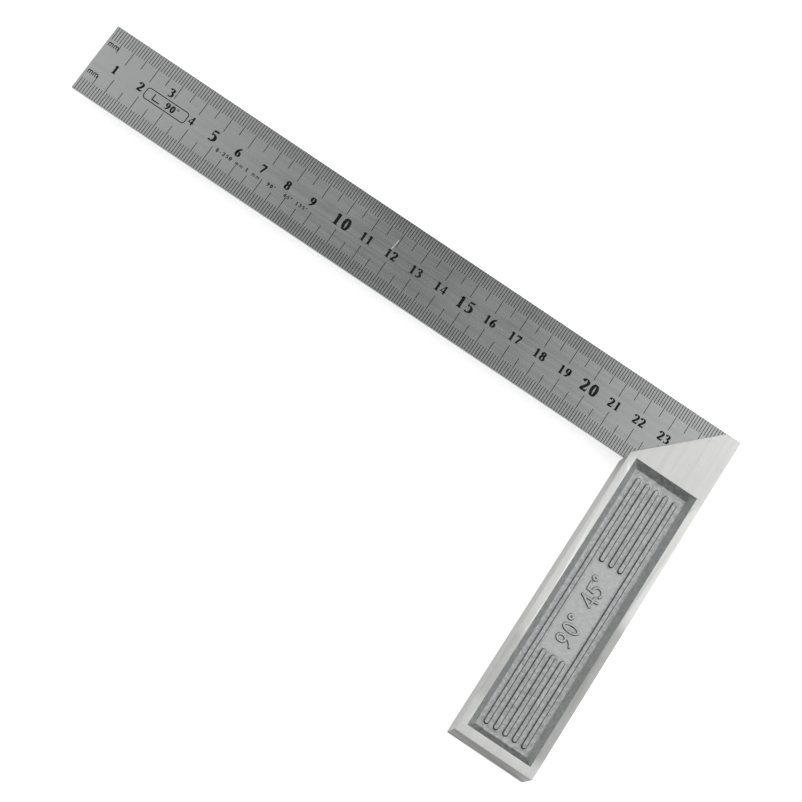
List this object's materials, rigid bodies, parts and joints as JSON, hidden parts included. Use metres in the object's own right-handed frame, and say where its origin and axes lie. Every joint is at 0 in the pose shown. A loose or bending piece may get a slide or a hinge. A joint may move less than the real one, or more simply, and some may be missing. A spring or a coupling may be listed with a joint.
{
  "type": "try square",
  "caption": "Flat try square: a millimetre-marked steel rule blade set at a right angle in a ribbed aluminium stock with a mitred head.",
  "frame": {"origin": "on the flat back of the stock, under the middle of the square's outline", "axes": "+X along the blade from its zero end towards the stock, +Y from the stock's far end towards the blade's outer edge, +Z out of the scale side"},
  "size_m": [0.252, 0.135, 0.016],
  "materials": {
    "blade_steel": "satin, finely brushed along its length",
    "stock_aluminium": "milled rims, rough as-cast recess",
    "pin_steel": "ground flush",
    "scale_ink": "black etched fill, matt"
  },
  "bodies": {
    "root": {"blade": "blade_steel", "stock": "stock_aluminium", "outer_pin": "pin_steel", "corner_pin": "pin_steel", "inner_pin": "pin_steel"}
  },
  "joints": []
}
